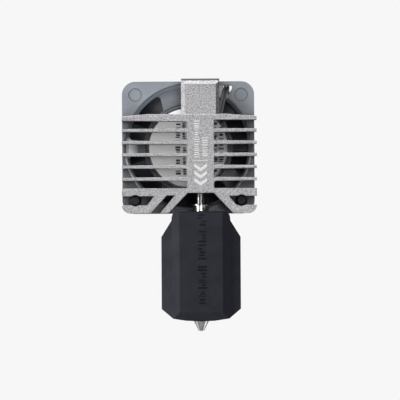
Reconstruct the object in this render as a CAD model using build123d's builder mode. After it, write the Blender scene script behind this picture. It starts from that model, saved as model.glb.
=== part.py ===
from build123d import *
import os
from math import atan2, cos, hypot, pi, radians, sin, tan

# A print head's hot end: a cast heat sink cooled by a square axial fan, with a thin heat break that
# carries a heated block, its nozzle and a pull-off silicone sock.
# +Z runs up the filament's path, -Y is the open finned side and the fan is on the +Y side.
# The origin is the mouth of the filament inlet. All sizes are in millimetres.

os.makedirs("parts", exist_ok=True)

# ---- Driving dimensions ----
# Filament path
bore_radius = 1.0
guide_radius = 1.8
guide_flange = 0.35
guide_length = 6.0

# Heat sink: a casting as deep as the air gap that it fills, slotted from both sides
sink_front = -4.2
sink_back = 4.2
sink_left = -14.8
sink_right = 10.55
sink_bottom = -25.3
shelf_top = -6.65
band_top = -20.6
band_bottom = -22.08
bar_top = -23.77
spine_half = 2.56
fin_count = 5
first_fin = -9.7
fin_pitch = 2.29
fin_root = 0.74
fin_tip = 0.55
arch_top = -21.5
arch_top_half = 2.46
arch_foot_half = 6.06
ear_corner = 1.55
slot_fillet = 0.28
edge_break = 0.08

# Tower: the block on the heat sink that goes up into the print head
tower_half = 3.6
tower_front = -3.9
tower_back = 3.75
tower_bevel = 0.68

# Fan, a standard 25 mm frame
fan_size = 25.0
fan_depth = 7.0
fan_x = -2.3
fan_z = -12.9
fan_front = sink_back
fan_back = fan_front + fan_depth
fan_corner = 2.5
hole_spacing = 20.0
duct_radius = 11.27
lip_radius = 11.93
chamber_radius = 11.75
chamber_front = 6.0
base_radius = 8.0
base_front = 4.95
base_back = 5.75
web_front = 5.05
label_radius = 7.4
label_thick = 0.1
hub_radius = 7.5
hub_wall = 0.95
blade_count = 9
blade_tip_radius = 11.4
blade_overlap = 1.14
shaft_radius = 0.5
shaft_clearance = 0.03
sleeve_radius = 1.25
boss_radius = 1.75
coil_count = 4

# Hot side
break_radius = 1.3
stub_radius = 1.95
stub_top = -11.5
hot_stub_radius = 1.5
hot_stub_end = -29.0
flange_radius = 2.25
flange_top = -23.6
flange_thick = 0.21
block_half = 2.9
block_front = -2.9
block_back = 2.3
block_top = -25.75
block_bottom = -42.6
nozzle_seat = -38.0
nozzle_tip = -47.48
nozzle_tip_radius = 0.475
cone_top = -44.15
cone_top_radius = 2.13
heater_thick = 1.0
clip_thick = 0.25
sensor_z = -30.5
sensor_y = -2.0
sensor_radius = 0.5

# Silicone sock
sock_top = -24.9
sock_front = -5.2
sock_back = 5.6
neck_half = 5.55
wing_half = 7.45
face_half = 4.05
wing_top = -29.75
shoulder_top = -26.7
wing_bottom = -43.3
sock_side_bottom = -45.1
sock_bottom = -45.65
cavity_half = 3.4
cavity_front = -3.4
cavity_back = 3.75
cavity_floor = -44.4

# Fan lead
wire_radius = 0.25
plug_top = -34.5
plug_x = 2.9
plug_y = 12.45
contact_pitch = 1.25

over = 1.0
sink_depth = sink_back - sink_front


def facing(y):
    """The plane at depth y that looks towards -Y, so that an extrusion comes forward."""
    return Plane.XZ.offset(-y)


def fan_face(y):
    """The same, with its origin on the fan's axis."""
    return Plane(origin=(fan_x, y, fan_z), x_dir=(1, 0, 0), z_dir=(0, -1, 0))


fan_section = Plane(origin=(fan_x, 0, fan_z), x_dir=(1, 0, 0), z_dir=(0, 0, 1))
fan_axis = Axis((fan_x, 0, fan_z), (0, 1, 0))
half_spacing = hole_spacing / 2
lower_holes = [(-half_spacing, -half_spacing), (half_spacing, -half_spacing)]
upper_holes = [(-half_spacing, half_spacing), (half_spacing, half_spacing)]

# ---- Heat sink ----
tower_mid = (tower_front + tower_back) / 2
with BuildPart() as tower:
    with BuildSketch(Plane.XY.offset(-guide_flange)):
        with Locations((0, tower_mid)):
            Rectangle(2 * tower_half, tower_back - tower_front)
    extrude(amount=shelf_top + guide_flange - edge_break)
    front_edges = tower.faces().sort_by(Axis.Y)[0].edges()
    chamfer(front_edges.sort_by(Axis.Z)[1:], tower_bevel)
    # The groove that parts the top bevel from the panel.
    with BuildSketch(facing(tower_front + 0.2)):
        with Locations((0, -guide_flange - tower_bevel - 0.22)):
            Rectangle(2 * (tower_half - tower_bevel) + 0.1, 0.2)
    extrude(amount=over, mode=Mode.SUBTRACT)

# Heights of the top fin's underside at the spine and at its end, for each side.
shelf_under = {-1: (-8.09, -7.86), 1: (-7.75, -7.8)}

with BuildPart() as heatsink:
    with BuildSketch(facing(sink_back)) as silhouette:
        with BuildLine():
            Polyline(
                (sink_left, -7.08),
                (-9.9, shelf_top),
                (4.5, shelf_top),
                (sink_right, -7.05),
                (sink_right, sink_bottom),
                (sink_left, sink_bottom),
                close=True,
            )
        make_face()
        fillet(silhouette.vertices().group_by(Axis.Y)[0], ear_corner)
    extrude(amount=sink_depth)
    # Slots between the fins, from the spine outwards.
    fin_heights = [first_fin - i * fin_pitch for i in range(fin_count)]
    for side in (-1, 1):
        root = side * spine_half
        end = side * over + (sink_right if side > 0 else sink_left)
        uppers = [shelf_under[side]] + [(z - fin_root / 2, z - fin_tip / 2) for z in fin_heights]
        lowers = [(z + fin_root / 2, z + fin_tip / 2) for z in fin_heights] + [(band_top, band_top)]
        for upper, lower in zip(uppers, lowers):
            with BuildSketch(facing(sink_back)) as slot:
                with BuildLine():
                    Polyline(
                        (root, upper[0]), (end, upper[1]), (end, lower[1]), (root, lower[0]), close=True
                    )
                make_face()
                fillet(slot.vertices().group_by(Axis.X)[0 if side > 0 else -1], slot_fillet)
            extrude(amount=sink_depth, mode=Mode.SUBTRACT)
    # The arch over the heat break.
    flare = (arch_foot_half - arch_top_half) / (arch_top - sink_bottom)
    foot = arch_foot_half + flare * over
    with BuildSketch(facing(sink_back)):
        with BuildLine():
            Polyline(
                (-arch_top_half, arch_top),
                (arch_top_half, arch_top),
                (foot, sink_bottom - over),
                (-foot, sink_bottom - over),
                close=True,
            )
        make_face()
    extrude(amount=sink_depth, mode=Mode.SUBTRACT)
    # A window beside each fan screw, and the slanted slot between the left ear's two legs.
    with BuildSketch(facing(sink_back)):
        with BuildLine():
            Polyline(
                (sink_left - over, band_bottom),
                (-8.81, band_bottom),
                (-10.06, bar_top),
                (sink_left - over, bar_top),
                close=True,
            )
        make_face()
        with BuildLine():
            Polyline(
                (sink_right + over, band_bottom),
                (5.3, band_bottom),
                (6.75, bar_top),
                (sink_right + over, bar_top),
                close=True,
            )
        make_face()
        with BuildLine():
            Polyline(
                (-6.38, -21.95),
                (-4.89, -21.95),
                (-8.53, sink_bottom - over),
                (-10.32, sink_bottom - over),
                close=True,
            )
        make_face()
    extrude(amount=sink_depth, mode=Mode.SUBTRACT)
    with BuildSketch(fan_face(sink_back)):
        with Locations(*lower_holes):
            Circle(1.07)
    extrude(amount=sink_depth, mode=Mode.SUBTRACT)
    chamfer(heatsink.faces().sort_by(Axis.Y)[0].edges(), edge_break)
    add(tower.part)
    # The guide's seat, the filament's bore and the heat break's seat.
    with BuildSketch(Plane.XY):
        Circle(guide_radius)
    extrude(amount=-guide_length, mode=Mode.SUBTRACT)
    with BuildSketch(Plane.XY):
        Circle(bore_radius)
    extrude(amount=stub_top, mode=Mode.SUBTRACT)
    with BuildSketch(Plane.XY.offset(stub_top)):
        Circle(stub_radius)
    extrude(amount=sink_bottom - stub_top, mode=Mode.SUBTRACT)
heatsink.part.label = "heatsink"
export_step(heatsink.part, "parts/heatsink.step")

# ---- Filament guide ----
with BuildPart() as filament_guide:
    # The flange stops short of the tower's front bevels.
    flange_front = tower_front + tower_bevel
    with BuildSketch(Plane.XY):
        with Locations((0, (flange_front + tower_back) / 2)):
            RectangleRounded(2 * tower_half, tower_back - flange_front, 0.3)
    extrude(amount=-guide_flange)
    with BuildSketch(Plane.XY.offset(-guide_flange)):
        Circle(guide_radius)
    extrude(amount=guide_flange - guide_length)
    with BuildSketch(Plane.XY):
        Circle(bore_radius)
    extrude(amount=-guide_length, mode=Mode.SUBTRACT)
filament_guide.part.label = "filament_guide"
export_step(filament_guide.part, "parts/filament_guide.step")

# ---- Heat break ----
flange_bottom = flange_top - flange_thick
with BuildPart() as heat_break:
    with BuildSketch(Plane.XZ):
        with BuildLine():
            Polyline(
                (bore_radius, stub_top),
                (stub_radius, stub_top),
                (stub_radius, arch_top + 0.2),
                (break_radius, arch_top + 0.2),
                (break_radius, flange_top),
                (flange_radius, flange_top),
                (flange_radius, flange_bottom),
                (hot_stub_radius, flange_bottom),
                (hot_stub_radius, hot_stub_end),
                (bore_radius, hot_stub_end),
                close=True,
            )
        make_face()
    revolve(axis=Axis.Z)
heat_break.part.label = "heat_break"
export_step(heat_break.part, "parts/heat_break.step")

# ---- Heater block ----
with BuildPart() as heater_block:
    with BuildSketch(Plane.XY.offset(block_top)):
        with Locations((0, (block_front + block_back) / 2)):
            RectangleRounded(2 * block_half, block_back - block_front, 0.35)
    extrude(amount=block_bottom - block_top)
    with BuildSketch(Plane.XY.offset(block_top)):
        Circle(hot_stub_radius)
    extrude(amount=hot_stub_end - block_top, mode=Mode.SUBTRACT)
    with BuildSketch(Plane.XY.offset(hot_stub_end)):
        Circle(bore_radius)
    extrude(amount=nozzle_seat - hot_stub_end, mode=Mode.SUBTRACT)
    with BuildSketch(Plane.XY.offset(nozzle_seat)):
        Circle(2.0)
    extrude(amount=block_bottom - nozzle_seat, mode=Mode.SUBTRACT)
    with BuildSketch(Plane.YZ.offset(-block_half)):
        with Locations((sensor_y, sensor_z)):
            Circle(sensor_radius + 0.02)
    extrude(amount=4.2, mode=Mode.SUBTRACT)
    # Relief grooves that thin the block near the heat break.
    with BuildSketch(Plane.XY.offset(block_top - 1.2)):
        with Locations((0, (block_front + block_back) / 2)):
            Rectangle(2 * block_half + over, block_back - block_front + over)
            Rectangle(2 * block_half - 0.6, block_back - block_front - 0.6, mode=Mode.SUBTRACT)
    extrude(amount=-0.4, mode=Mode.SUBTRACT)
heater_block.part.label = "heater_block"
export_step(heater_block.part, "parts/heater_block.step")

# ---- Nozzle ----
orifice_radius = 0.1
with BuildPart() as nozzle:
    with BuildSketch(Plane.XZ):
        with BuildLine():
            Polyline(
                (0, nozzle_seat),
                (2.0, nozzle_seat),
                (2.0, block_bottom),
                (cone_top_radius, block_bottom),
                (cone_top_radius, cone_top),
                (nozzle_tip_radius, nozzle_tip),
                (0, nozzle_tip),
                close=True,
            )
        make_face()
    revolve(axis=Axis.Z)
    with BuildSketch(Plane.XY.offset(block_bottom)):
        RegularPolygon(radius=2.75, side_count=6)
    extrude(amount=cone_top - block_bottom)
    with BuildSketch(Plane.XZ):
        with BuildLine():
            Polyline(
                (0, nozzle_seat),
                (bore_radius, nozzle_seat),
                (bore_radius, -44.9),
                (orifice_radius, -46.9),
                (orifice_radius, nozzle_tip),
                (0, nozzle_tip),
                close=True,
            )
        make_face()
    revolve(axis=Axis.Z, mode=Mode.SUBTRACT)
nozzle.part.label = "nozzle"
export_step(nozzle.part, "parts/nozzle.step")

# ---- Ceramic heater, its two terminals, the temperature sensor and the spring clip ----
heater_back = block_back + heater_thick
heater_top = -28.0
heater_bottom = -41.0
with BuildPart() as ceramic_heater:
    with BuildSketch(facing(heater_back)):
        with Locations((0, (heater_top + heater_bottom) / 2)):
            RectangleRounded(5.2, heater_top - heater_bottom, 0.3)
    extrude(amount=heater_thick)
ceramic_heater.part.label = "ceramic_heater"
export_step(ceramic_heater.part, "parts/ceramic_heater.step")

with BuildPart() as heater_terminals:
    with BuildSketch(Plane.XY.offset(heater_top)):
        with Locations((-1.2, block_back + 0.5), (1.2, block_back + 0.5)):
            Circle(0.25)
    extrude(amount=1.6)
heater_terminals.part.label = "heater_terminals"
export_step(heater_terminals.part, "parts/heater_terminals.step")

with BuildPart() as temperature_sensor:
    with BuildSketch(Plane.YZ.offset(-block_half - 0.2)):
        with Locations((sensor_y, sensor_z)):
            Circle(sensor_radius)
    extrude(amount=4.3)
    fillet(temperature_sensor.edges().sort_by(Axis.X)[-1], 0.3)
temperature_sensor.part.label = "temperature_sensor"
export_step(temperature_sensor.part, "parts/temperature_sensor.step")

clip_top = -34.0
clip_bottom = -41.0
clip_out = block_half + clip_thick
clip_front = block_front - clip_thick
clip_back = heater_back + clip_thick
with BuildPart() as heater_clip:
    with BuildSketch(Plane.XY.offset(clip_bottom)):
        with Locations((0, (clip_front + clip_back) / 2)):
            RectangleRounded(2 * clip_out, clip_back - clip_front, 0.5)
        with Locations((0, (block_front + heater_back) / 2)):
            Rectangle(2 * block_half, heater_back - block_front, mode=Mode.SUBTRACT)
        with Locations((0, clip_front)):
            Rectangle(3.8, 4 * clip_thick, mode=Mode.SUBTRACT)
    extrude(amount=clip_top - clip_bottom)
    # A window in the back plate gives the spring its give.
    with BuildSketch(facing(clip_back)):
        with Locations((0, (clip_top + clip_bottom) / 2)):
            SlotOverall(3.6, 1.6)
    extrude(amount=clip_thick, mode=Mode.SUBTRACT)
heater_clip.part.label = "heater_clip"
export_step(heater_clip.part, "parts/heater_clip.step")

# ---- Silicone sock ----
# The plan of the wings and the core, cut to the front and side outlines.
with BuildPart() as silicone_sock:
    with BuildSketch(Plane.XY.offset(sock_bottom)) as plan:
        with BuildLine():
            Polyline(
                (-face_half, sock_front),
                (face_half, sock_front),
                (neck_half, sock_front + neck_half - face_half),
                (neck_half, -2.95),
                (wing_half, -2.3),
                (wing_half, 3.7),
                (neck_half, sock_back),
                (-neck_half, sock_back),
                (-wing_half, 3.7),
                (-wing_half, -2.3),
                (-neck_half, -2.95),
                (-neck_half, sock_front + neck_half - face_half),
                close=True,
            )
        make_face()
    extrude(amount=sock_top - sock_bottom)
    with BuildSketch(facing(sock_back)):
        with BuildLine():
            Line((-4.2, sock_top), (4.2, sock_top))
            ThreePointArc((4.2, sock_top), (5.1, -25.25), (5.5, -26.1))
            Line((5.5, -26.1), (neck_half, shoulder_top))
            ThreePointArc((neck_half, shoulder_top), (6.42, -28.2), (wing_half, wing_top))
            Line((wing_half, wing_top), (wing_half, wing_bottom))
            Line((wing_half, wing_bottom), (5.3, sock_side_bottom))
            ThreePointArc((5.3, sock_side_bottom), (0, sock_bottom), (-5.3, sock_side_bottom))
            Line((-5.3, sock_side_bottom), (-wing_half, wing_bottom))
            Line((-wing_half, wing_bottom), (-wing_half, wing_top))
            ThreePointArc((-wing_half, wing_top), (-6.42, -28.2), (-neck_half, shoulder_top))
            Line((-neck_half, shoulder_top), (-5.5, -26.1))
            ThreePointArc((-5.5, -26.1), (-5.1, -25.25), (-4.2, sock_top))
        make_face()
    extrude(amount=sock_back - sock_front, mode=Mode.INTERSECT)
    with BuildSketch(Plane.YZ.offset(-wing_half)):
        with BuildLine():
            Polyline(
                (sock_front, sock_top - 0.35),
                (sock_front + 0.35, sock_top),
                (3.0, sock_top),
                (3.0, -25.85),
                (sock_back, -25.85),
                (sock_back, -43.7),
                (3.9, sock_bottom),
                (-3.5, sock_bottom),
                (sock_front, -43.9),
                close=True,
            )
        make_face()
    extrude(amount=2 * wing_half, mode=Mode.INTERSECT)
    # The pocket for the block, the nozzle's tapered hole and the outlet for the leads.
    with BuildSketch(Plane.XY.offset(cavity_floor)):
        with Locations((0, (cavity_front + cavity_back) / 2)):
            RectangleRounded(2 * cavity_half, cavity_back - cavity_front, 0.5)
    extrude(amount=sock_top - cavity_floor + over, mode=Mode.SUBTRACT)
    with BuildSketch(Plane.XZ):
        with BuildLine():
            Polyline(
                (0, cavity_floor + 0.5),
                (2.35, cavity_floor + 0.5),
                (2.2, cavity_floor),
                (1.6, sock_bottom - 0.1),
                (0, sock_bottom - 0.1),
                close=True,
            )
        make_face()
    revolve(axis=Axis.Z, mode=Mode.SUBTRACT)
    with BuildSketch(Plane.XY.offset(-28.2)):
        with Locations((0, sock_back)):
            Rectangle(4.4, 2 * (sock_back - cavity_back + 0.5))
    extrude(amount=3.5, mode=Mode.SUBTRACT)
silicone_sock.part.label = "silicone_sock"
export_step(silicone_sock.part, "parts/silicone_sock.step")

# ---- Fan frame: housing, three webs, motor base and bearing boss ----
top_web_width = 11.4
top_web_foot = 9.2
left_web_width = 2.9
right_web_width = 3.4
right_web_angle = -36
web_flare = 0.6
lip = lip_radius - duct_radius
gate_angle = 63.0
gate_width = 1.7
with BuildPart() as webs:
    # The webs' front is level near the motor and sweeps up into the duct's lip.
    with BuildSketch(fan_section):
        with BuildLine():
            Line((base_radius + 0.3, web_front), (9.9, web_front))
            ThreePointArc((9.9, web_front), (10.7, 4.99), (duct_radius, fan_front + lip))
            Line((duct_radius, fan_front + lip), (lip_radius, fan_front))
            Line((lip_radius, fan_front), (lip_radius, base_back))
            Line((lip_radius, base_back), (base_radius + 0.3, base_back))
            Line((base_radius + 0.3, base_back), (base_radius + 0.3, web_front))
        make_face()
    revolve(axis=fan_axis)
    # Seen from the front, they flare out where they meet the duct.
    with BuildSketch(fan_face(base_back)) as web_plan:
        Circle(lip_radius + over)
        Circle(duct_radius, mode=Mode.SUBTRACT)
        with BuildLine():
            Polyline(
                (-top_web_width / 2, duct_radius + 0.2),
                (-top_web_foot / 2, 6.7),
                (-top_web_foot / 2, 2.0),
                (top_web_foot / 2, 2.0),
                (top_web_foot / 2, 6.7),
                (top_web_width / 2, duct_radius + 0.2),
                close=True,
            )
        make_face()
        with Locations((-duct_radius / 2 - 1, 0)):
            Rectangle(duct_radius + 1, left_web_width)
        with Locations(Rotation(0, 0, right_web_angle)):
            with Locations((duct_radius / 2 + 1, 0)):
                Rectangle(duct_radius + 1, right_web_width)
        at_duct = [v for v in web_plan.vertices() if abs(Vector(*v).length - duct_radius) < 0.01]
        fillet(at_duct, web_flare)
    extrude(amount=base_back - fan_front, mode=Mode.INTERSECT)

with BuildPart() as fan_frame:
    with BuildSketch(fan_face(fan_back)):
        RectangleRounded(fan_size, fan_size, fan_corner)
    extrude(amount=fan_depth)
    # The duct: a bevelled lip in front, a throat, and a wider chamber round the blades.
    with BuildSketch(fan_section):
        with BuildLine():
            Polyline(
                (0, fan_front),
                (lip_radius, fan_front),
                (duct_radius, fan_front + lip),
                (duct_radius, chamber_front - 0.2),
                (chamber_radius, chamber_front + 0.3),
                (chamber_radius, fan_back - 0.15),
                (chamber_radius + 0.15, fan_back),
                (0, fan_back),
                close=True,
            )
        make_face()
    revolve(axis=fan_axis, mode=Mode.SUBTRACT)
    add(webs.part)
    # A pocket at the top edge takes the lead, and a window lets it through to the back.
    with BuildSketch(fan_face(5.6)):
        with BuildLine():
            Polyline((5.8, 11.75), (5.8, 8.6), (7.1, 8.6), (7.5, 9.6), (8.35, 11.2), (8.35, 11.75))
            Line((8.35, 11.75), (5.8, 11.75))
        make_face()
    extrude(amount=5.6 - fan_front, mode=Mode.SUBTRACT)
    with BuildSketch(fan_face(fan_back)):
        with BuildLine():
            Polyline((6.65, 11.77), (6.65, 10.83), (7.5, 10.83), (7.8, 10.45), (8.0, 10.6), (8.35, 11.2))
            Polyline((8.35, 11.2), (8.35, 11.77), (6.65, 11.77))
        make_face()
    extrude(amount=fan_depth, mode=Mode.SUBTRACT)
    # Motor base with its label recess, and the boss that holds the bearing.
    with BuildSketch(fan_section):
        with BuildLine():
            Polyline(
                (0, base_front + label_thick),
                (label_radius + 0.05, base_front + label_thick),
                (label_radius + 0.05, base_front),
                (base_radius - 0.2, base_front),
                (base_radius, base_front + 0.2),
                (base_radius, base_back - 0.25),
                (base_radius + 0.4, base_back - 0.25),
                (base_radius + 0.4, base_back),
                (boss_radius, base_back),
                (boss_radius, 8.9),
                (0, 8.9),
                close=True,
            )
        make_face()
    revolve(axis=fan_axis)
    with BuildSketch(fan_face(8.9)):
        Circle(sleeve_radius)
    extrude(amount=8.9 - base_back + 0.3, mode=Mode.SUBTRACT)
    # The gate that brings the lead from the circuit board out to the duct.
    with BuildSketch(fan_face(base_back)):
        with Locations((5.3, 4.3)):
            Rectangle(5.2, gate_width, rotation=gate_angle)
    extrude(amount=base_back - base_front, mode=Mode.SUBTRACT)
    # Corner holes: two right through for the screws, two blind from the back with dimples in front.
    with BuildSketch(fan_face(fan_back)):
        with Locations(*lower_holes):
            Circle(1.15)
    extrude(amount=fan_depth, mode=Mode.SUBTRACT)
    with BuildSketch(fan_face(fan_back)):
        with Locations(*lower_holes):
            Circle(2.05)
    extrude(amount=1.4, mode=Mode.SUBTRACT)
    with BuildSketch(fan_face(fan_back)):
        with Locations(*upper_holes):
            Circle(1.4)
    extrude(amount=5.4, mode=Mode.SUBTRACT)
    with BuildSketch(fan_face(fan_front)):
        with Locations(*upper_holes):
            Circle(1.25)
    extrude(amount=-0.16, taper=25, mode=Mode.SUBTRACT)
fan_frame.part.label = "fan_frame"
export_step(fan_frame.part, "parts/fan_frame.step")

# ---- Rotor ----
hub_front = 6.25
hub_back = 10.45
yoke_back = 9.75
yoke_thick = 0.35
magnet_inner = 5.15
blade_mid = 8.45
blade_depth = 3.5
hub_inner = hub_radius - hub_wall


def blade_plane(radius, pitch):
    """Across a blade at this radius; its x runs along the chord and its y through the thickness."""
    chord_way = (0, sin(pitch), cos(pitch))
    return Plane(origin=(fan_x + radius, blade_mid, fan_z), x_dir=chord_way, z_dir=(1, 0, 0))


with BuildPart() as blade:
    for radius in (6.75, 9.2, 12.0):
        # As seen along the axis, each blade reaches over the edge of the next.
        width = blade_overlap * 2 * pi * radius / blade_count
        half = hypot(width, blade_depth) / 2
        with BuildSketch(blade_plane(radius, atan2(blade_depth, width))):
            with BuildLine():
                ThreePointArc((-half, 0), (0, 0.75), (half, 0))
                Line((half, 0), (half, -0.3))
                ThreePointArc((half, -0.3), (0, 0.25), (-half, -0.3))
                Line((-half, -0.3), (-half, 0))
            make_face()
    loft()
    # Trimmed to the duct's running clearance.
    with BuildSketch(fan_face(hub_back + over)):
        Circle(blade_tip_radius)
    extrude(amount=hub_back - hub_front + 2 * over, mode=Mode.INTERSECT)

with BuildPart() as impeller:
    with BuildSketch(fan_section):
        with BuildLine():
            Polyline(
                (0, yoke_back),
                (hub_inner, yoke_back),
                (hub_inner, hub_front),
                (hub_radius, hub_front),
                (hub_radius, hub_back - 0.5),
                (hub_radius - 0.5, hub_back),
                (0, hub_back),
                close=True,
            )
        make_face()
    revolve(axis=fan_axis)
    for i in range(blade_count):
        add(blade.part.rotate(fan_axis, 22 + i * 360 / blade_count))
    with BuildSketch(fan_face(yoke_back + 0.5)):
        Circle(shaft_radius)
    extrude(amount=over, mode=Mode.SUBTRACT)
impeller.part.label = "impeller"
export_step(impeller.part, "parts/impeller.step")

with BuildPart() as rotor_yoke:
    with BuildSketch(fan_section):
        with BuildLine():
            Polyline(
                (shaft_radius, yoke_back),
                (hub_inner, yoke_back),
                (hub_inner, 6.6),
                (hub_inner - yoke_thick, 6.6),
                (hub_inner - yoke_thick, yoke_back - yoke_thick),
                (shaft_radius, yoke_back - yoke_thick),
                close=True,
            )
        make_face()
    revolve(axis=fan_axis)
rotor_yoke.part.label = "rotor_yoke"
export_step(rotor_yoke.part, "parts/rotor_yoke.step")

with BuildPart() as rotor_magnet:
    with BuildSketch(fan_face(yoke_back - yoke_thick)):
        Circle(hub_inner - yoke_thick)
        Circle(magnet_inner, mode=Mode.SUBTRACT)
    extrude(amount=yoke_back - yoke_thick - 6.65)
rotor_magnet.part.label = "rotor_magnet"
export_step(rotor_magnet.part, "parts/rotor_magnet.step")

with BuildPart() as rotor_shaft:
    with BuildSketch(fan_face(yoke_back + 0.5)):
        Circle(shaft_radius)
    extrude(amount=yoke_back + 0.5 - 5.72)
    fillet(rotor_shaft.edges().sort_by(Axis.Y)[0], 0.2)
rotor_shaft.part.label = "rotor_shaft"
export_step(rotor_shaft.part, "parts/rotor_shaft.step")

# ---- Bearing ----
with BuildPart() as bearing_sleeve:
    with BuildSketch(fan_face(8.8)):
        Circle(sleeve_radius)
        Circle(shaft_radius + shaft_clearance, mode=Mode.SUBTRACT)
    extrude(amount=8.8 - 5.95)
bearing_sleeve.part.label = "bearing_sleeve"
export_step(bearing_sleeve.part, "parts/bearing_sleeve.step")

with BuildPart() as thrust_pad:
    with BuildSketch(fan_face(5.7)):
        Circle(sleeve_radius)
    extrude(amount=0.25)
thrust_pad.part.label = "thrust_pad"
export_step(thrust_pad.part, "parts/thrust_pad.step")

# ---- Stator ----
core_front = 6.75
core_back = 8.25
shoe_radius = 4.7
arm_width = 1.2
insulation = 0.25


def stator_outline():
    """Centre ring, arms and pole shoes, drawn in the sketch that calls it."""
    Circle(shoe_radius)
    Circle(3.9, mode=Mode.SUBTRACT)
    with PolarLocations(0, coil_count, start_angle=45):
        with Locations((shoe_radius, 0)):
            Rectangle(3.0, 1.3, mode=Mode.SUBTRACT)
    Circle(2.5)
    with PolarLocations(0, coil_count):
        with Locations((3.1, 0)):
            Rectangle(2.0, arm_width)
    Circle(boss_radius, mode=Mode.SUBTRACT)


with BuildPart() as stator_core:
    with BuildSketch(fan_face(core_back)):
        stator_outline()
    extrude(amount=core_back - core_front)
stator_core.part.label = "stator_core"
export_step(stator_core.part, "parts/stator_core.step")

with BuildPart() as stator_insulators:
    with BuildSketch(fan_face(core_front)):
        stator_outline()
    extrude(amount=insulation)
    with BuildSketch(fan_face(core_back + insulation)):
        stator_outline()
    extrude(amount=insulation)
stator_insulators.part.label = "stator_insulators"
export_step(stator_insulators.part, "parts/stator_insulators.step")

winding = 0.35
core_mid = (core_front + core_back) / 2
stack = core_back - core_front + 2 * insulation
with BuildPart() as coil:
    with BuildSketch(Plane(origin=(fan_x + 2.62, core_mid, fan_z), x_dir=(0, 0, 1), z_dir=(1, 0, 0))):
        RectangleRounded(arm_width + 2 * winding, stack + 2 * winding, 0.3)
        Rectangle(arm_width, stack, mode=Mode.SUBTRACT)
    extrude(amount=1.1)
with BuildPart() as stator_coils:
    for i in range(coil_count):
        add(coil.part.rotate(fan_axis, i * 360 / coil_count))
stator_coils.part.label = "stator_coils"
export_step(stator_coils.part, "parts/stator_coils.step")

# ---- Circuit board, what is on it, and the label ----
board_thick = 0.3
with BuildPart() as circuit_board:
    with BuildSketch(fan_face(base_back + board_thick)):
        Circle(5.7)
        Circle(boss_radius, mode=Mode.SUBTRACT)
    extrude(amount=board_thick)
circuit_board.part.label = "circuit_board"
export_step(circuit_board.part, "parts/circuit_board.step")

with BuildPart() as board_parts:
    with BuildSketch(fan_face(base_back + board_thick + 0.4)):
        with Locations((-3.3, -3.3)):
            Rectangle(1.3, 1.1, rotation=45)
        with Locations((3.3, -3.3)):
            Rectangle(0.8, 1.4, rotation=45)
    extrude(amount=0.4)
board_parts.part.label = "board_parts"
export_step(board_parts.part, "parts/board_parts.step")

with BuildPart() as fan_label:
    with BuildSketch(fan_face(base_front + label_thick)):
        Circle(label_radius)
    extrude(amount=label_thick)
fan_label.part.label = "fan_label"
export_step(fan_label.part, "parts/fan_label.step")

# ---- Screws through the fan's lower corners into the heat sink's ears ----
head_front = fan_back - 1.4
with BuildPart() as fan_screws:
    for x, z in lower_holes:
        with BuildSketch(fan_face(head_front + 1.2)):
            with Locations((x, z)):
                Circle(1.85)
        extrude(amount=1.2)
        with BuildSketch(fan_face(head_front)):
            with Locations((x, z)):
                Circle(1.0)
        extrude(amount=head_front)
    chamfer(fan_screws.edges().group_by(Axis.Y)[0], 0.25)
    fillet(fan_screws.edges().group_by(Axis.Y)[-1], 0.45)
    with BuildSketch(fan_face(fan_back)):
        with Locations(*lower_holes):
            Rectangle(1.9, 0.4)
            Rectangle(0.4, 1.9)
    extrude(amount=0.9, mode=Mode.SUBTRACT)
fan_screws.part.label = "fan_screws"
export_step(fan_screws.part, "parts/fan_screws.step")

# ---- Fan lead: two limp wires from the board, out through the notch and down to a plug ----
half_pitch = contact_pitch / 2
routes = {
    "fan_wire_left": [
        (1.95, 5.42, -10.2),
        (2.75, 5.45, -8.45),
        (3.5, 5.1, -6.7),
        (3.82, 4.65, -4.5),
        (4.7, 5.0, -1.42),
        (4.76, 8.5, -1.4),
        (4.8, 12.7, -1.5),
        (4.75, 13.1, -5.6),
        (4.2, 12.8, -11.8),
        (3.55, 12.45, -19.6),
        (2.7, 12.4, -27.4),
        (plug_x - half_pitch, plug_y, plug_top),
    ],
    "fan_wire_right": [
        (2.5, 5.42, -10.4),
        (3.2, 5.42, -8.8),
        (3.95, 5.25, -7.0),
        (4.35, 5.05, -4.6),
        (5.24, 5.2, -1.42),
        (5.3, 8.6, -1.4),
        (5.34, 12.65, -1.5),
        (5.3, 13.05, -5.7),
        (4.9, 12.85, -12.0),
        (4.3, 12.55, -19.8),
        (3.6, 12.4, -27.5),
        (plug_x + half_pitch, plug_y, plug_top),
    ],
}


def corner_radii(points):
    """The largest arc that each corner's two runs allow."""
    radii = []
    for before, here, after in zip(points, points[1:], points[2:]):
        inward = Vector(*here) - Vector(*before)
        outward = Vector(*after) - Vector(*here)
        half_turn = radians(inward.get_angle(outward)) / 2
        radii.append(0.45 * min(inward.length, outward.length) / tan(half_turn))
    return radii


solder_starts = []
for name, points in routes.items():
    radii = corner_radii(points)
    with BuildPart() as wire:
        with BuildLine() as route:
            FilletPolyline(*points, radius=radii)
        start = Vector(*points[1]) - Vector(*points[0])
        with BuildSketch(Plane(origin=points[0], z_dir=start)):
            Circle(wire_radius)
        sweep(path=route.wires()[0])
    solder_starts.append((points[0], start))
    length = route.wires()[0].length
    wire.part.label = name
    export_step(wire.part, f"parts/{name}.step")
    print(name, "length", round(length, 1), "radii", [round(r, 2) for r in radii])
    print("volume over section times length", round(wire.part.volume / (pi * wire_radius**2 * length), 4))

with BuildPart() as solder_joints:
    for origin, way in solder_starts:
        with BuildSketch(Plane(origin=origin, x_dir=(0, 1, 0), z_dir=(-way.X, 0, -way.Z))):
            with Locations((0.05, 0)):
                Rectangle(0.56, 0.5)
        extrude(amount=0.7)
solder_joints.part.label = "solder_joints"
export_step(solder_joints.part, "parts/solder_joints.step")

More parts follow.
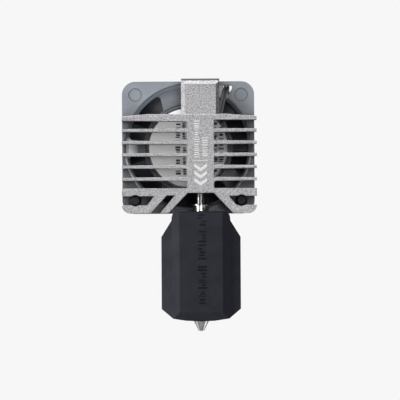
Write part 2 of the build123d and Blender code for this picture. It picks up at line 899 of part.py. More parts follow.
plug_length = 5.2
with BuildPart() as lead_plug:
    with BuildSketch(Plane.XY.offset(plug_top)):
        with Locations((plug_x, plug_y)):
            Rectangle(4.0, 2.0)
        with Locations((plug_x, plug_y - 1.1)):
            Rectangle(2.6, 0.4)
    extrude(amount=-plug_length)
    with BuildSketch(Plane.XY.offset(plug_top - plug_length)):
        with Locations((plug_x - half_pitch, plug_y), (plug_x + half_pitch, plug_y)):
            Rectangle(0.8, 0.9)
    extrude(amount=plug_length - 0.6, mode=Mode.SUBTRACT)
    chamfer(lead_plug.faces().sort_by(Axis.Z)[0].edges(), 0.12)
lead_plug.part.label = "lead_plug"
export_step(lead_plug.part, "parts/lead_plug.step")

with BuildPart() as plug_contacts:
    with BuildSketch(Plane.XY.offset(plug_top - 0.6)):
        with Locations((plug_x - half_pitch, plug_y), (plug_x + half_pitch, plug_y)):
            Rectangle(0.7, 0.8)
    extrude(amount=-3.8)
    with BuildSketch(Plane.XY.offset(plug_top - 4.4)):
        with Locations((plug_x - half_pitch, plug_y), (plug_x + half_pitch, plug_y)):
            Rectangle(0.4, 0.5)
    extrude(amount=2.6, mode=Mode.SUBTRACT)
plug_contacts.part.label = "plug_contacts"
export_step(plug_contacts.part, "parts/plug_contacts.step")
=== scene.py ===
"""Hot end of a print head: cast heat sink, axial fan, heat break, and heated block in a silicone sock.

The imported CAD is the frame. This script gives its nodes their surfaces, rebuilds the soft parts (the
sock and the fan's two wires) as finished meshes, and adds the printed and moulded marks.
"""

import math
import random

import bmesh
import bpy
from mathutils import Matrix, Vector


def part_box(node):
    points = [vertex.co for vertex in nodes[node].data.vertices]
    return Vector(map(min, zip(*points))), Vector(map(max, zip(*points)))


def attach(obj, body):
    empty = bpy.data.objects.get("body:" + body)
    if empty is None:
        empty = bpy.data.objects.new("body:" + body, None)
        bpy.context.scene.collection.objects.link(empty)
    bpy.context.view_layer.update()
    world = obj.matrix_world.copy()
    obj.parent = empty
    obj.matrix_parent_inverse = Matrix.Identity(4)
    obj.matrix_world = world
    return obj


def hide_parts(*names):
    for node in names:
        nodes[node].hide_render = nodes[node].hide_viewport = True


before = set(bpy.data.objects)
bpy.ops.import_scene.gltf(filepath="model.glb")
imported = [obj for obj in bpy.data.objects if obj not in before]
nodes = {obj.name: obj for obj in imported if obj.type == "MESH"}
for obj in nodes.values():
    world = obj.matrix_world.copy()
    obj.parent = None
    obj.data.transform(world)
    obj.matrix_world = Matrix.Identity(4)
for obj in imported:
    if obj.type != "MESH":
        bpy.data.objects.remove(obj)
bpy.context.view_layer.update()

MM = 0.001

# ---- Camera: long lens, level with the middle of the object, on its finned side ----
FIELD = 75.36 * MM
DISTANCE = 1.2
CENTRE = Vector((-0.14 * MM, 0, -22.82 * MM))
ROLL = math.radians(-0.32)

camera_data = bpy.data.cameras.new("camera")
camera_data.sensor_width = 36
camera_data.lens = camera_data.sensor_width * DISTANCE / FIELD
camera_data.clip_start = 0.05
camera_data.clip_end = 10
camera = bpy.data.objects.new("camera", camera_data)
camera.location = CENTRE - Vector((0, DISTANCE, 0))
camera.rotation_euler = (math.radians(90), 0, 0)
camera.rotation_euler.rotate_axis("Z", ROLL)
bpy.context.scene.collection.objects.link(camera)
bpy.context.scene.camera = camera


# ---- Node helpers ----
class Surface:
    """A material on one Principled shader, with short calls for the nodes that feed it."""

    def __init__(self, name, colour, roughness, metallic=0.0):
        self.material = bpy.data.materials.new(name)
        self.material.use_nodes = True
        self.tree = self.material.node_tree
        self.shader = self.tree.nodes["Principled BSDF"]
        self.set("Base Color", (*colour, 1))
        self.set("Roughness", roughness)
        self.set("Metallic", metallic)
        self.place = self.tree.nodes.new("ShaderNodeTexCoord").outputs["Object"]

    def set(self, socket, value):
        self.shader.inputs[socket].default_value = value

    def link(self, output, target):
        self.tree.links.new(output, target)

    def add(self, kind, **values):
        """A node with these input values; names with a capital are inputs, the rest are settings."""
        node = self.tree.nodes.new(kind)
        for key, value in values.items():
            if key[0].isupper():
                socket = node.inputs[key.replace("_", " ")]
                if isinstance(value, bpy.types.NodeSocket):
                    self.link(value, socket)
                else:
                    socket.default_value = value
            else:
                setattr(node, key, value)
        return node

    def stretched(self, scale):
        return self.add("ShaderNodeMapping", Vector=self.place, Scale=scale).outputs["Vector"]

    def noise(self, size, detail=3.0, rough=0.55, where=None):
        """Noise whose lumps are about this many millimetres across."""
        node = self.add(
            "ShaderNodeTexNoise",
            Vector=where or self.place,
            Scale=1 / (size * MM),
            Detail=detail,
            Roughness=rough,
        )
        return node.outputs["Fac"]

    def step(self, operation, first, second=0.0):
        """One step of arithmetic on two values, each a number or a socket."""
        node = self.tree.nodes.new("ShaderNodeMath")
        node.operation = operation
        for socket, value in zip(node.inputs, (first, second)):
            if isinstance(value, bpy.types.NodeSocket):
                self.link(value, socket)
            else:
                socket.default_value = value
        return node.outputs[0]

    def distance(self, first, second):
        """The length of the line across two sides at right angles."""
        squares = [self.step("MULTIPLY", side, side) for side in (first, second)]
        return self.step("SQRT", self.step("ADD", *squares))

    def every(self, *masks):
        """One where all of these masks are one."""
        product = masks[0]
        for mask in masks[1:]:
            product = self.step("MULTIPLY", product, mask)
        return product

    def past(self, value, start, end):
        """Zero up to start and one from end on, both in millimetres."""
        return self.ramp(value, start * MM, end * MM)

    def until(self, value, start, end):
        """One up to start and zero from end on, both in millimetres."""
        return self.ramp(value, start * MM, end * MM, 1.0, 0.0)

    def band(self, value, middle, half):
        """One within half of this middle, both in millimetres, and zero beyond its soft edge."""
        off = self.step("ABSOLUTE", self.step("SUBTRACT", value, middle * MM))
        return self.until(off, half - 0.03, half + 0.05)

    def ramp(self, value, low, high, to_low=0.0, to_high=1.0):
        """A value between the last two as this one goes from low to high."""
        node = self.add(
            "ShaderNodeMapRange",
            Value=value,
            From_Min=low,
            From_Max=high,
            To_Min=to_low,
            To_Max=to_high,
        )
        return node.outputs["Result"]

    def mix(self, factor, first, second):
        """A colour between two colours, each a tuple or a socket."""
        node = self.tree.nodes.new("ShaderNodeMix")
        node.data_type = "RGBA"
        for index, value in ((0, factor), (6, first), (7, second)):
            socket = node.inputs[index]
            if isinstance(value, bpy.types.NodeSocket):
                self.link(value, socket)
            elif index == 0:
                socket.default_value = value
            else:
                socket.default_value = (*value, 1)
        return node.outputs[2]

    def painted_hollow_shade(self, reach, closed, open_air, amount):
        """How far, up to this amount, a spot is closed in by what lies within reach millimetres, as a mask
        for painted shade.
        """
        node = self.add("ShaderNodeAmbientOcclusion", Distance=reach * MM, samples=8)
        return self.ramp(node.outputs["AO"], closed, open_air, amount, 0.0)

    def paint(self, colour):
        self.link(colour, self.shader.inputs["Base Color"])

    def gloss(self, value):
        self.link(value, self.shader.inputs["Roughness"])

    def bump(self, height, depth):
        """Bumps this many millimetres deep where height goes from 0 to 1."""
        node = self.add("ShaderNodeBump", Height=height, Distance=depth * MM)
        self.link(node.outputs["Normal"], self.shader.inputs["Normal"])


# ---- Places that the materials use ----
# The middle of the fan at the front of its frame
FAN_LOW, FAN_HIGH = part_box("fan_frame")
FAN_AXIS = Vector(((FAN_LOW.x + FAN_HIGH.x) / 2, FAN_LOW.y, (FAN_LOW.z + FAN_HIGH.z) / 2))
# Radii round the fan's axis, in millimetres: the middle of the duct's lip, half its width, the
# painted shade line round it and the painted shade line round the label
LIP_MIDDLE = 11.62
LIP_HALF = 0.26
LIP_LINE = 12.02
LABEL_RIM = 7.62
# The corner dimples, in millimetres: how far out and up from the axis, and the radius of the rim
DIMPLE_OUT = 10
DIMPLE_RIM = 1.2
# The underside of the heat break's flange
BREAK_FLANGE = -23.75 * MM


def shade(colour, factor):
    """A colour made darker or lighter by a factor."""
    return tuple(min(1.0, c * factor) for c in colour)


# ---- Materials ----
# How far apart the wave texture's bands are at a scale of one
WAVE_PITCH = 0.314


def cast_metal():
    """Grey blasted casting, with a sparkling grain and faint clouds."""
    colour = (0.288, 0.284, 0.293)
    s = Surface("cast_metal", colour, 0.42, metallic=0.8)
    grain = s.noise(0.26, detail=4.0, rough=0.7)
    cloud = s.noise(2.4)
    fine = s.mix(s.ramp(grain, 0.38, 0.62), shade(colour, 0.50), shade(colour, 1.46))
    s.paint(s.mix(s.ramp(cloud, 0.3, 0.7, 0.0, 0.25), fine, shade(colour, 1.1)))
    s.gloss(s.ramp(grain, 0.3, 0.7, 0.56, 0.38))
    s.bump(grain, 0.03)
    return s.material


def moulded_plastic(name, colour, roughness, grain_size=0.12, grain_depth=0.006, variety=0.12):
    """Injection-moulded plastic: a fine grain and faint clouding."""
    s = Surface(name, colour, roughness)
    grain = s.noise(grain_size, detail=2.0)
    cloud = s.noise(4.0)
    s.paint(s.mix(s.ramp(cloud, 0.3, 0.7), shade(colour, 1 - variety), shade(colour, 1 + variety)))
    s.gloss(s.ramp(grain, 0.3, 0.7, roughness + 0.07, roughness - 0.07))
    s.bump(grain, grain_depth)
    return s.material


class FanPlace:
    """Where a spot of the fan's frame lies, as sockets: across, up, back and out from its axis."""

    def __init__(self, s):
        split = s.add("ShaderNodeSeparateXYZ", Vector=s.place).outputs
        self.across = s.step("SUBTRACT", split["X"], FAN_AXIS.x)
        self.up = s.step("SUBTRACT", split["Z"], FAN_AXIS.z)
        self.back = s.step("SUBTRACT", split["Y"], FAN_AXIS.y)
        self.radius = s.distance(self.across, self.up)
        self.front = s.until(self.back, 1.0, 1.2)


def lip_painted_light(s, place, shown, colour, dark):
    """Makes the duct's bevelled lip paler as painted light, but dark at the frame's upper right corner as
    painted shade.
    """
    lip = s.every(s.band(place.radius, LIP_MIDDLE, LIP_HALF), place.front)
    shown = s.mix(s.step("MULTIPLY", lip, 0.45), shown, shade(colour, 2.1))
    corner = s.every(s.past(place.across, 4.5, 6.0), s.past(place.up, 4.0, 5.5))
    inside_lip = s.until(place.radius, LIP_LINE - 0.07, LIP_LINE + 0.03)
    return s.mix(s.step("MULTIPLY", s.every(inside_lip, corner), 0.5), shown, dark)


def groove_painted_shade(s, place, shown, dark):
    """Draws painted shade: dark lines in the grooves round the lip and the label, and round the two corner
    dimples' rims.
    """
    for radius, half in ((LIP_LINE, 0.1), (LABEL_RIM, 0.2)):
        line = s.every(s.band(place.radius, radius, half), place.front)
        shown = s.mix(s.step("MULTIPLY", line, 0.85), shown, dark)
    rise = s.step("SUBTRACT", place.up, DIMPLE_OUT * MM)
    for side in (-DIMPLE_OUT, DIMPLE_OUT):
        out = s.distance(s.step("SUBTRACT", place.across, side * MM), rise)
        rim = s.every(s.band(out, DIMPLE_RIM, 0.05), place.front)
        shown = s.mix(s.step("MULTIPLY", rim, 0.6), shown, dark)
    return shown


def painted_highlights(s, place, shown):
    """Makes what catches the light paler, as painted highlights: the lip's outer edge, a web's end and the
    floor of the lead's pocket.
    """
    # A painted highlight on the outer edge of the lip, low at both sides
    low = s.until(place.up, -2.2, -1.2)
    outer = s.past(s.step("ABSOLUTE", place.across), 7.2, 7.8)
    edge = s.band(place.radius, LIP_MIDDLE + 0.23, 0.16)
    shown = s.mix(s.every(edge, low, place.front, outer), shown, (0.80, 0.81, 0.83))
    # A painted highlight on the end of the web at the fan's left
    beside = s.until(place.across, -11.6, -9.4)
    inside = s.until(place.radius, 11.7, 11.8)
    level = s.until(s.step("ABSOLUTE", place.up), 1.5, 2.1)
    shown = s.mix(s.every(beside, inside, level), shown, (0.92, 0.94, 0.97))
    # A painted highlight on the pocket's floor, which is a thin slice of the frame's depth
    depth = s.every(s.past(place.back, 1.3, 1.38), s.until(place.back, 1.42, 1.5))
    pocket = s.every(depth, s.band(place.across, 6.5, 1.0), s.band(place.up, 10.4, 1.4))
    return s.mix(pocket, shown, (0.62, 0.64, 0.68))


def fan_plastic():
    """Blue-grey moulded plastic, with painted shade where it is closed in and along its grooves, and
    painted light and shade on its lip and a few spots.
    """
    colour = (0.192, 0.216, 0.248)
    dark = shade(colour, 0.08)
    s = Surface("frame_plastic", colour, 0.38)
    grain = s.noise(0.12, detail=2.0)
    cloud = s.noise(4.0)
    clouded = s.mix(s.ramp(cloud, 0.3, 0.7), shade(colour, 0.88), shade(colour, 1.12))
    # Painted shade where the frame is closed in
    hollow_shaded = s.mix(s.painted_hollow_shade(5.0, 0.30, 0.88, 0.95), clouded, dark)
    place = FanPlace(s)
    lip_lit_and_shaded = lip_painted_light(s, place, hollow_shaded, colour, dark)
    groove_shaded = groove_painted_shade(s, place, lip_lit_and_shaded, dark)
    s.paint(painted_highlights(s, place, groove_shaded))
    s.gloss(s.ramp(grain, 0.3, 0.7, 0.45, 0.31))
    s.bump(grain, 0.006)
    return s.material


def silicone():
    """Near-black silicone, matte, with a trace of blue and a little dust in its grain."""
    colour = (0.009, 0.0095, 0.016)
    s = Surface("silicone", colour, 0.56)
    s.set("Specular IOR Level", 0.19)
    grain = s.noise(0.10, detail=2.0)
    cloud = s.noise(3.0)
    base = s.mix(s.ramp(cloud, 0.3, 0.7), shade(colour, 0.85), shade(colour, 1.2))
    s.paint(s.mix(s.ramp(grain, 0.62, 0.8, 0.0, 0.5), base, shade(colour, 2.2)))
    s.gloss(s.ramp(cloud, 0.3, 0.7, 0.62, 0.50))
    s.bump(grain, 0.005)
    return s.material


def silicone_recess():
    """The rougher floor of the sunken bars, painted a little darker than the silicone around it as painted
    shade.
    """
    s = Surface("silicone_recess", (0.006, 0.006, 0.010), 0.7)
    s.set("Specular IOR Level", 0.14)
    grain = s.noise(0.15, detail=2.0)
    s.paint(s.mix(s.ramp(grain, 0.3, 0.7), (0.004, 0.004, 0.008), (0.008, 0.008, 0.013)))
    s.bump(grain, 0.01)
    return s.material


def turned_metal(name, colour, roughness, pitch=0.09, depth=0.002):
    """Turned metal: fine rings one above another, pitch millimetres apart, with some tarnish."""
    s = Surface(name, colour, roughness, metallic=1.0)
    rings = s.add(
        "ShaderNodeTexWave",
        Vector=s.place,
        Scale=WAVE_PITCH / (pitch * MM),
        Distortion=0.6,
        Detail=2.0,
        bands_direction="Z",
    ).outputs["Fac"]
    stain = s.noise(0.9)
    s.paint(s.mix(s.ramp(stain, 0.35, 0.7), colour, shade(colour, 0.78)))
    s.gloss(s.ramp(stain, 0.3, 0.7, roughness - 0.05, roughness + 0.1))
    s.bump(rings, depth)
    return s.material


def break_steel():
    """Turned steel, with painted shade on the thin neck and a painted reflection on the collar below its
    flange.
    """
    s = Surface("break_steel", (0.3, 0.3, 0.3), 0.24, metallic=1.0)
    height = s.add("ShaderNodeSeparateXYZ", Vector=s.place).outputs["Z"]
    soft = 0.05 * MM
    collar = s.ramp(height, BREAK_FLANGE - soft, BREAK_FLANGE + soft, 1.0, 0.0)
    stain = s.noise(0.7)
    neck = s.mix(s.ramp(stain, 0.35, 0.7), (0.12, 0.118, 0.115), (0.07, 0.068, 0.066))
    # The neck's darkness is painted shade and the collar's brightness a painted reflection
    s.paint(s.mix(collar, neck, (0.46, 0.46, 0.455)))
    s.gloss(s.ramp(collar, 0.0, 1.0, 0.22, 0.24))
    rings = s.noise(0.5, where=s.stretched((0.05, 0.05, 6)))
    s.bump(rings, 0.003)
    return s.material


def machined_metal(name, colour, roughness, scale=(20, 20, 1)):
    """Sawn or milled metal with fine streaks along one way."""
    s = Surface(name, colour, roughness, metallic=1.0)
    streaks = s.noise(0.6, detail=4.0, where=s.stretched(scale))
    s.paint(s.mix(s.ramp(streaks, 0.3, 0.7), shade(colour, 0.85), shade(colour, 1.12)))
    s.gloss(s.ramp(streaks, 0.3, 0.7, roughness + 0.08, roughness - 0.06))
    s.bump(streaks, 0.003)
    return s.material


def copper_winding():
    """Enamelled copper wire, wound side by side."""
    s = Surface("copper_winding", (0.55, 0.19, 0.07), 0.28, metallic=0.9)
    s.set("Coat Weight", 0.5)
    turns = s.add(
        "ShaderNodeTexWave", Vector=s.place, Scale=2600.0, Distortion=0.4, bands_direction="DIAGONAL"
    ).outputs["Fac"]
    s.paint(s.mix(turns, (0.26, 0.08, 0.03), (0.62, 0.23, 0.09)))
    s.bump(turns, 0.03)
    return s.material


def board_mask():
    """Green solder mask over a faint pattern of copper tracks."""
    s = Surface("board_mask", (0.02, 0.12, 0.05), 0.3)
    cells = s.add("ShaderNodeTexVoronoi", Vector=s.place, Scale=1 / (0.9 * MM), feature="DISTANCE_TO_EDGE")
    tracks = s.ramp(cells.outputs["Distance"], 0.06, 0.09)
    s.paint(s.mix(tracks, (0.05, 0.24, 0.10), (0.018, 0.11, 0.045)))
    s.bump(tracks, -0.01)
    return s.material


def label_film():
    """White printed film with a faint orange-peel surface, darkened where it is closed in as painted
    shade.
    """
    s = Surface("label_film", (0.92, 0.92, 0.91), 0.34)
    peel = s.noise(0.5)
    film = s.mix(s.ramp(peel, 0.3, 0.7), (0.90, 0.90, 0.89), (0.95, 0.95, 0.94))
    # Painted shade where the film is closed in by the fins
    s.paint(s.mix(s.painted_hollow_shade(5.0, 0.2, 0.85, 0.12), film, (0.30, 0.30, 0.31)))
    s.bump(peel, 0.004)
    return s.material


def printed_ink(name, colour):
    """Ink that lies on a grain, so it is a little broken."""
    s = Surface(name, colour, 0.55)
    grain = s.noise(0.14, detail=2.0)
    s.paint(s.mix(s.ramp(grain, 0.35, 0.7), shade(colour, 0.82), shade(colour, 1.1)))
    s.bump(grain, 0.006)
    return s.material


def fired_ceramic():
    s = Surface("fired_ceramic", (0.80, 0.79, 0.74), 0.5)
    speck = s.noise(0.2)
    s.paint(s.mix(s.ramp(speck, 0.3, 0.72), (0.84, 0.83, 0.79), (0.70, 0.68, 0.63)))
    s.bump(speck, 0.006)
    return s.material


def wear(node, material):
    """Gives a CAD node this material in all of its slots."""
    for slot in nodes[node].material_slots:
        slot.material = material


ink_white = printed_ink("ink_white", (0.62, 0.62, 0.61))
ink_black = printed_ink("ink_black", (0.02, 0.02, 0.022))
silicone_black = silicone()
recess_painted_shade = silicone_recess()
wire_vinyl = moulded_plastic("wire_vinyl", (0.17, 0.172, 0.18), 0.42, grain_size=0.3, grain_depth=0.004)

wear("heatsink", cast_metal())
wear("filament_guide", moulded_plastic("guide_plastic", (0.075, 0.075, 0.08), 0.4))
wear("heat_break", break_steel())
wear("heater_block", machined_metal("block_metal", (0.66, 0.64, 0.61), 0.35))
wear("nozzle", turned_metal("nozzle_steel", (0.28, 0.277, 0.27), 0.08))
wear("ceramic_heater", fired_ceramic())
wear("heater_terminals", machined_metal("terminal_metal", (0.68, 0.67, 0.64), 0.3))
wear("temperature_sensor", machined_metal("sensor_steel", (0.60, 0.60, 0.61), 0.3, scale=(1, 20, 20)))
wear("heater_clip", machined_metal("spring_steel", (0.52, 0.53, 0.55), 0.3, scale=(1, 1, 20)))
wear("fan_frame", fan_plastic())
wear("impeller", moulded_plastic("impeller_plastic", (0.015, 0.019, 0.028), 0.42))
wear("rotor_yoke", machined_metal("yoke_steel", (0.5, 0.5, 0.5), 0.32))
wear("rotor_magnet", moulded_plastic("magnet_ferrite", (0.06, 0.055, 0.055), 0.7, grain_depth=0.012))
wear("rotor_shaft", machined_metal("shaft_steel", (0.7, 0.7, 0.71), 0.15, scale=(1, 20, 1)))
wear("bearing_sleeve", turned_metal("bearing_bronze", (0.55, 0.36, 0.17), 0.42))
wear("thrust_pad", moulded_plastic("pad_plastic", (0.80, 0.79, 0.74), 0.4))
wear("stator_core", machined_metal("core_steel", (0.42, 0.42, 0.44), 0.38, scale=(1, 20, 1)))
wear("stator_insulators", moulded_plastic("insulator_plastic", (0.78, 0.77, 0.70), 0.5))
wear("stator_coils", copper_winding())
wear("circuit_board", board_mask())
wear("board_parts", moulded_plastic("component_body", (0.025, 0.025, 0.027), 0.45))
wear("solder_joints", turned_metal("solder", (0.66, 0.66, 0.65), 0.22))
wear("fan_label", label_film())
wear("fan_screws", machined_metal("black_screw", (0.04, 0.04, 0.044), 0.55, scale=(1, 20, 1)))
wear("lead_plug", moulded_plastic("plug_nylon", (0.76, 0.74, 0.68), 0.42))
wear("plug_contacts", machined_metal("contact_metal", (0.70, 0.67, 0.60), 0.25))


# ---- Mesh helpers ----
def piece_from(name, mesh, body, material):
    """A finished piece of the object that rides on a body."""
    piece = bpy.data.objects.new(name, mesh)
    bpy.context.scene.collection.objects.link(piece)
    mesh.materials.clear()
    mesh.materials.append(material)
    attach(piece, body)
    return piece


def mesh_from(name, work):
    mesh = bpy.data.meshes.new(name)
    work.to_mesh(mesh)
    work.free()
    return mesh


def bar(work, low, high, rounding=0.0):
    """A box between two corners, with its edges along Y rounded."""
    centre = (Vector(low) + Vector(high)) / 2
    size = Vector(high) - Vector(low)
    made = bmesh.ops.create_cube(work, size=1.0)
    for v in made["verts"]:
        v.co = Vector(c * s for c, s in zip(v.co, size)) + centre
    if rounding:
        edges = {e for v in made["verts"] for e in v.link_edges}
        along = [e for e in edges if abs((e.verts[0].co - e.verts[1].co).normalized().y) > 0.9]
        bmesh.ops.bevel(work, geom=along, offset=rounding, segments=3, affect="EDGES", profile=0.5)


def mark_box(middle, top, half, thick, face, depth):
    """The corners of a flat bar centred in depth on a face towards -Y; the first four are in mm."""
    low = Vector(((middle - half) * MM, face - depth, (top - thick) * MM))
    high = Vector(((middle + half) * MM, face + depth, top * MM))
    return low, high


# ---- Studio: world, floor and lights ----
PALE = (0.93, 0.93, 0.935)
# The world's light: its strength at the horizon, what each axis adds, and the least it falls to
WORLD_LEVEL = 0.24
WORLD_SLOPE = {"X": -0.22, "Z": 0.17}
WORLD_LEAST = 0.02
FLOOR_LEVEL = -1.0
FLOOR_RADIUS = 4.0
# The floor's glow as a light, and as the camera sees it
FLOOR_GLOW = 0.14
FLOOR_GLOW_SEEN = 0.65


def studio_world():
    """Even pale backdrop to the eye; as a light it is brighter above and to the left."""
    world = bpy.data.worlds.new("studio")
    bpy.context.scene.world = world
    world.use_nodes = True
    tree = world.node_tree
    tree.nodes.clear()
    where = tree.nodes.new("ShaderNodeTexCoord")
    split = tree.nodes.new("ShaderNodeSeparateXYZ")
    tree.links.new(where.outputs["Generated"], split.inputs[0])
    total = None
    for axis, slope in WORLD_SLOPE.items():
        part = tree.nodes.new("ShaderNodeMath")
        part.operation = "MULTIPLY_ADD"
        tree.links.new(split.outputs[axis], part.inputs[0])
        part.inputs[1].default_value = slope
        if total is None:
            part.inputs[2].default_value = WORLD_LEVEL
        else:
            tree.links.new(total, part.inputs[2])
        total = part.outputs[0]
    strength = tree.nodes.new("ShaderNodeMath")
    strength.operation = "MAXIMUM"
    tree.links.new(total, strength.inputs[0])
    strength.inputs[1].default_value = WORLD_LEAST
    lit = tree.nodes.new("ShaderNodeBackground")
    tree.links.new(strength.outputs[0], lit.inputs["Strength"])
    seen = tree.nodes.new("ShaderNodeBackground")
    seen.inputs["Color"].default_value = (*PALE, 1)
    ray = tree.nodes.new("ShaderNodeLightPath")
    choose = tree.nodes.new("ShaderNodeMixShader")
    tree.links.new(ray.outputs["Is Camera Ray"], choose.inputs[0])
    tree.links.new(lit.outputs[0], choose.inputs[1])
    tree.links.new(seen.outputs[0], choose.inputs[2])
    out = tree.nodes.new("ShaderNodeOutputWorld")
    tree.links.new(choose.outputs[0], out.inputs["Surface"])


def softbox(name, place, power, size):
    """A square light of this many watts and metres, at a place in metres, aimed at the object."""
    light = bpy.data.lights.new(name, "AREA")
    light.energy = power
    light.size = size
    lamp = bpy.data.objects.new(name, light)
    lamp.location = place
    lamp.rotation_euler = (CENTRE - Vector(place)).to_track_quat("-Z", "Y").to_euler()
    bpy.context.scene.collection.objects.link(lamp)


def studio_floor():
    """A pale disc far below the object, whose glow is weaker as a light than to the eye."""
    work = bmesh.new()
    bmesh.ops.create_circle(work, cap_ends=True, radius=FLOOR_RADIUS, segments=96)
    floor = bpy.data.objects.new("floor", mesh_from("floor", work))
    floor.location = (0, 0, FLOOR_LEVEL)
    pale = Surface("floor_paint", PALE, 0.9)
    pale.set("Emission Color", (*PALE, 1))
    seen = pale.add("ShaderNodeLightPath").outputs["Is Camera Ray"]
    glow = pale.ramp(seen, 0.0, 1.0, FLOOR_GLOW, FLOOR_GLOW_SEEN)
    pale.link(glow, pale.shader.inputs["Emission Strength"])
    floor.data.materials.append(pale.material)
    floor.visible_diffuse = False
    bpy.context.scene.collection.objects.link(floor)


studio_world()
studio_floor()
softbox("key", (-0.60, -0.80, 0.40), 5.5, 0.35)
softbox("low_left", (-0.72, -0.80, -0.02), 4.0, 0.25)
softbox("front", (0.15, -1.3, 0.10), 3.4, 0.30)
softbox("side", (-0.95, -0.05, 0.10), 3.0, 0.35)
softbox("low_right", (0.85, -0.55, -0.30), 2.2, 0.35)
softbox("under_right", (0.80, 0.20, -0.60), 2.2, 0.50)
softbox("under_left", (-0.80, 0.20, -0.60), 1.4, 0.50)
softbox("top", (-0.05, -0.15, 0.85), 5.5, 0.45)
bpy.context.scene.view_settings.view_transform = "Standard"
bpy.context.scene.view_settings.look = "None"

# ---- Silicone sock: the moulding with its softened corners and a column of sunken bars ----
SOCK_ROUND = 0.32 * MM
SOCK_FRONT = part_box("silicone_sock")[0].y
MARK_DEPTH = 0.25 * MM
# Millimetres: the middle and half width of the column of bars, and the top and bottom of each group
COLUMN_MIDDLE = 0.25
COLUMN_HALF = 0.85
BAR_GROUPS = ((-25.5, -27.6), (-28.6, -33.9), (-35.2, -42.6))


def moulded_sock():
    """The CAD sock with its flat faces made whole again, ready for rounding."""
    work = bmesh.new()
    work.from_mesh(nodes["silicone_sock"].data)
    bmesh.ops.remove_doubles(work, verts=work.verts, dist=0.002 * MM)
    bmesh.ops.dissolve_limit(work, angle_limit=math.radians(4), verts=work.verts, edges=work.edges)
    return mesh_from("moulded_sock", work)


def sunken_bars():
    """A column of plain bars of uneven length, in three groups, as cutters."""
    chance = random.Random(3)
    work = bmesh.new()
    for top, bottom in BAR_GROUPS:
        level = top
        while level > bottom:
            thick = chance.uniform(0.18, 0.42)
            half = chance.uniform(0.3, COLUMN_HALF)
            middle = COLUMN_MIDDLE + chance.uniform(-COLUMN_HALF + half, COLUMN_HALF - half)
            bar(work, *mark_box(middle, level, half, thick, SOCK_FRONT, MARK_DEPTH), rounding=0.08 * MM)
            level -= thick + chance.uniform(0.16, 0.4)
    return mesh_from("sunken_bars", work)


def bake(piece, modifier):
    """Applies a piece's only modifier, and leaves it with none."""
    graph = bpy.context.evaluated_depsgraph_get()
    done = bpy.data.meshes.new_from_object(piece.evaluated_get(graph))
    piece.modifiers.remove(modifier)
    piece.data = done


sock = piece_from("sock", moulded_sock(), "sock", silicone_black)
rounding = sock.modifiers.new("rounding", "BEVEL")
rounding.width = SOCK_ROUND
rounding.segments = 3
rounding.angle_limit = math.radians(16)
bake(sock, rounding)
cutter = bpy.data.objects.new("cutter", sunken_bars())
bpy.context.scene.collection.objects.link(cutter)
marks = sock.modifiers.new("marks", "BOOLEAN")
marks.operation = "DIFFERENCE"
marks.object = cutter
bake(sock, marks)
bpy.data.objects.remove(cutter)
sock.data.materials.append(recess_painted_shade)
# What lies just behind the front face in the bars' column is their walls and floors, which take the darker
# material as painted shade.
column_reach = (COLUMN_MIDDLE + COLUMN_HALF + 0.2) * MM
for face in sock.data.polygons:
    depth = face.center.y - SOCK_FRONT
    if abs(face.center.x) < column_reach and 0.01 * MM < depth < 1.2 * MARK_DEPTH:
        face.material_index = 1
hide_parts("silicone_sock")

# ---- Printed marks: plain bars on the spine and the fan's label ----
INK = 0.012 * MM
SPINE_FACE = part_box("heatsink")[0].y
LABEL_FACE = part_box("fan_label")[0].y
# Millimetres: the middle, top and bottom of each column of short bars on the spine
SPINE_COLUMNS = ((-0.7, -7.9, -14.8), (0.85, -11.1, -14.8))
SPINE_DIVIDER = (0.0, -15.35, 1.4, 0.1)
# Millimetres: the middle, half width, top and bottom of each line of print on the label
LABEL_PRINT = (
    (-4.25, 0.6, -7.6, -18.4),
    (-3.1, 0.3, -7.0, -18.8),
    (2.85, 0.36, -8.2, -17.4),
    (3.9, 0.5, -9.0, -17.0),
)
# Millimetres: the arrowheads' tops, half width, how far they drop to their points, and thickness
ARROW_TOPS = (-15.95, -17.3, -18.65)
ARROW_HALF = 1.2
ARROW_DROP = 0.85
ARROW_THICK = 0.62


def print_bars(name, face, material, bars):
    """Thin bars (middle, top, half width, height in mm) that lie on a face towards -Y."""
    work = bmesh.new()
    for middle, top, half, thick in bars:
        bar(work, *mark_box(middle, top, half, thick, face, INK), rounding=0.03 * MM)
    piece_from(name, mesh_from(name, work), "hotend", material)


def spine_marks():
    """A divider line, and two columns of short bars above it."""
    chance = random.Random(5)
    bars = [SPINE_DIVIDER]
    for middle, top, bottom in SPINE_COLUMNS:
        level = top
        while level > bottom:
            thick = chance.uniform(0.12, 0.2)
            width = chance.uniform(0.32, 0.56)
            bars.append((middle + chance.uniform(-0.05, 0.05), level, width, thick))
            level -= thick + chance.uniform(0.16, 0.34)
    return bars


def label_marks():
    """Lines of small print that run up and down, broken into plain dashes."""
    chance = random.Random(11)
    bars = []
    for middle, half, top, bottom in LABEL_PRINT:
        level = top
        while level > bottom:
            thick = chance.uniform(0.18, 0.42)
            place = middle + chance.uniform(-0.08, 0.08)
            bars.append((place, level, half * chance.uniform(0.6, 1), thick))
            level -= thick + chance.choice((0.12, 0.14, 0.16, 0.45))
    return bars


def spine_arrows():
    """Three arrowheads that point down the spine."""
    work = bmesh.new()
    upper = ((-ARROW_HALF, 0), (0, -ARROW_DROP), (ARROW_HALF, 0))
    lower = [(x, z - ARROW_THICK) for x, z in reversed(upper)]
    for level in ARROW_TOPS:
        front = [work.verts.new((x * MM, SPINE_FACE - INK, (level + z) * MM)) for x, z in (*upper, *lower)]
        for corners in ((0, 1, 4, 5), (1, 2, 3, 4)):
            work.faces.new([front[i] for i in corners])
    return mesh_from("spine_arrows", work)


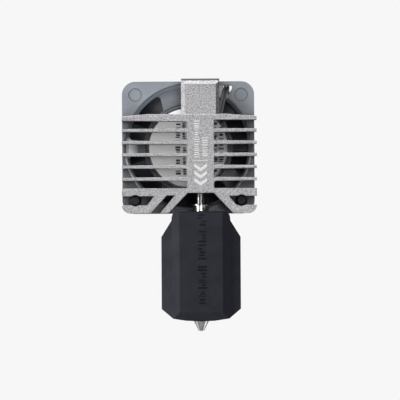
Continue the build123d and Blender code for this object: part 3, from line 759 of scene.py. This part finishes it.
print_bars("spine_print", SPINE_FACE, ink_white, spine_marks())
print_bars("label_print", LABEL_FACE, ink_black, label_marks())
piece_from("spine_arrows", spine_arrows(), "hotend", ink_white)

# ---- Fan lead: two limp wires, from the board's solder joints to the plug ----
WIRE = 0.5 * MM
# Millimetres: the middle of the plug's top, half the wires' pitch there, and the routes, as in the CAD
PLUG_TOP = (2.9, 12.45, -34.5)
HALF_PITCH = 0.625
ROUTES = {
    "wire_left": [
        (1.95, 5.42, -10.2),
        (2.75, 5.45, -8.45),
        (3.5, 5.1, -6.7),
        (3.82, 4.65, -4.5),
        (4.7, 5.0, -1.42),
        (4.76, 8.5, -1.4),
        (4.8, 12.7, -1.5),
        (4.75, 13.1, -5.6),
        (4.2, 12.8, -11.8),
        (3.55, 12.45, -19.6),
        (2.7, 12.4, -27.4),
        (PLUG_TOP[0] - HALF_PITCH, PLUG_TOP[1], PLUG_TOP[2]),
    ],
    "wire_right": [
        (2.5, 5.42, -10.4),
        (3.2, 5.42, -8.8),
        (3.95, 5.25, -7.0),
        (4.35, 5.05, -4.6),
        (5.24, 5.2, -1.42),
        (5.3, 8.6, -1.4),
        (5.34, 12.65, -1.5),
        (5.3, 13.05, -5.7),
        (4.9, 12.85, -12.0),
        (4.3, 12.55, -19.8),
        (3.6, 12.4, -27.5),
        (PLUG_TOP[0] + HALF_PITCH, PLUG_TOP[1], PLUG_TOP[2]),
    ],
}


def wire(name, route):
    """One wire along a smooth curve through its route, in place of the CAD tube."""
    curve = bpy.data.curves.new(name, "CURVE")
    curve.dimensions = "3D"
    curve.bevel_depth = WIRE / 2
    curve.bevel_resolution = 4
    curve.resolution_u = 8
    curve.use_fill_caps = True
    line = curve.splines.new("NURBS")
    line.points.add(len(route) - 1)
    for point, place in zip(line.points, route):
        point.co = (*(Vector(place) * MM), 1)
    line.order_u = 3
    line.use_endpoint_u = True
    curve.materials.append(wire_vinyl)
    piece = bpy.data.objects.new(name, curve)
    bpy.context.scene.collection.objects.link(piece)
    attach(piece, "hotend")
    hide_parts("fan_" + name)


for wire_name, wire_route in ROUTES.items():
    wire(wire_name, wire_route)
